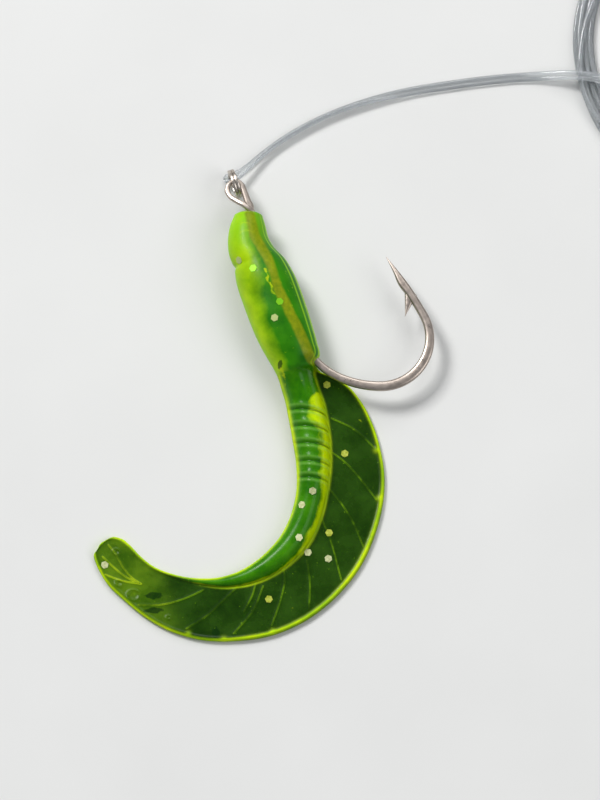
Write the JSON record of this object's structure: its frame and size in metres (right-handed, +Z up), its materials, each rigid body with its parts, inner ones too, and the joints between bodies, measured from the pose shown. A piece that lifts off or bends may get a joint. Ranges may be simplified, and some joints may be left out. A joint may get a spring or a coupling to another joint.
{
  "type": "soft plastic fishing worm",
  "caption": "Curl-tail soft plastic worm rigged on a barbed hook, with a split ring at the eye and a doubled, coiled leader line.",
  "frame": {"origin": "middle of the underside of the rigged worm, without its leader line, on the surface it lies on", "axes": "+Z up from the surface, +Y from the tail towards the hook's eye, +X towards the hook's bend"},
  "size_m": [0.1151, 0.1109, 0.0079],
  "materials": {
    "soft_plastic": "clear chartreuse plastisol, glossy, with a bright rim",
    "silver_foil": "cut foil",
    "gold_foil": "cut foil, gold green",
    "nickel_steel": "satin nickel",
    "ring_steel": "polished stainless",
    "clear_line": "clear nylon monofilament"
  },
  "bodies": {
    "lure": {"hook": "nickel_steel", "worm_body": "soft_plastic", "silver_flakes_in_body": "silver_foil", "gold_flakes_in_body": "gold_foil"},
    "tail": {"tail_fin": "soft_plastic", "tail_stem": "soft_plastic", "silver_flakes_in_tail": "silver_foil", "gold_flakes_in_tail": "gold_foil"},
    "ring": {"split_ring": "ring_steel"},
    "leader": {"leader_bight": "clear_line", "leader_inner_strand": "clear_line", "leader_outer_strand": "clear_line", "leader_coil": "clear_line"}
  },
  "joints": [
    {"name": "tail_flex", "type": "hinge", "parent": "lure", "child": "tail", "pos_m": [0.004, 0.00706, 0.00398], "axis": [0, 0, 1], "range_deg": [-35, 12], "stiffness_Nm_per_rad": 0.0005},
    {"name": "leader_swing", "type": "hinge", "parent": "lure", "child": "leader", "pos_m": [-0.0037, 0.03045, 0.0036], "axis": [0, 0, 1], "range_deg": [-35, 35]},
    {"name": "ring_spin", "type": "hinge", "parent": "leader", "child": "ring", "pos_m": [-0.00411, 0.03163, 0.0025], "axis": [0.9455, 0.3256, 0], "continuous": true}
  ]
}
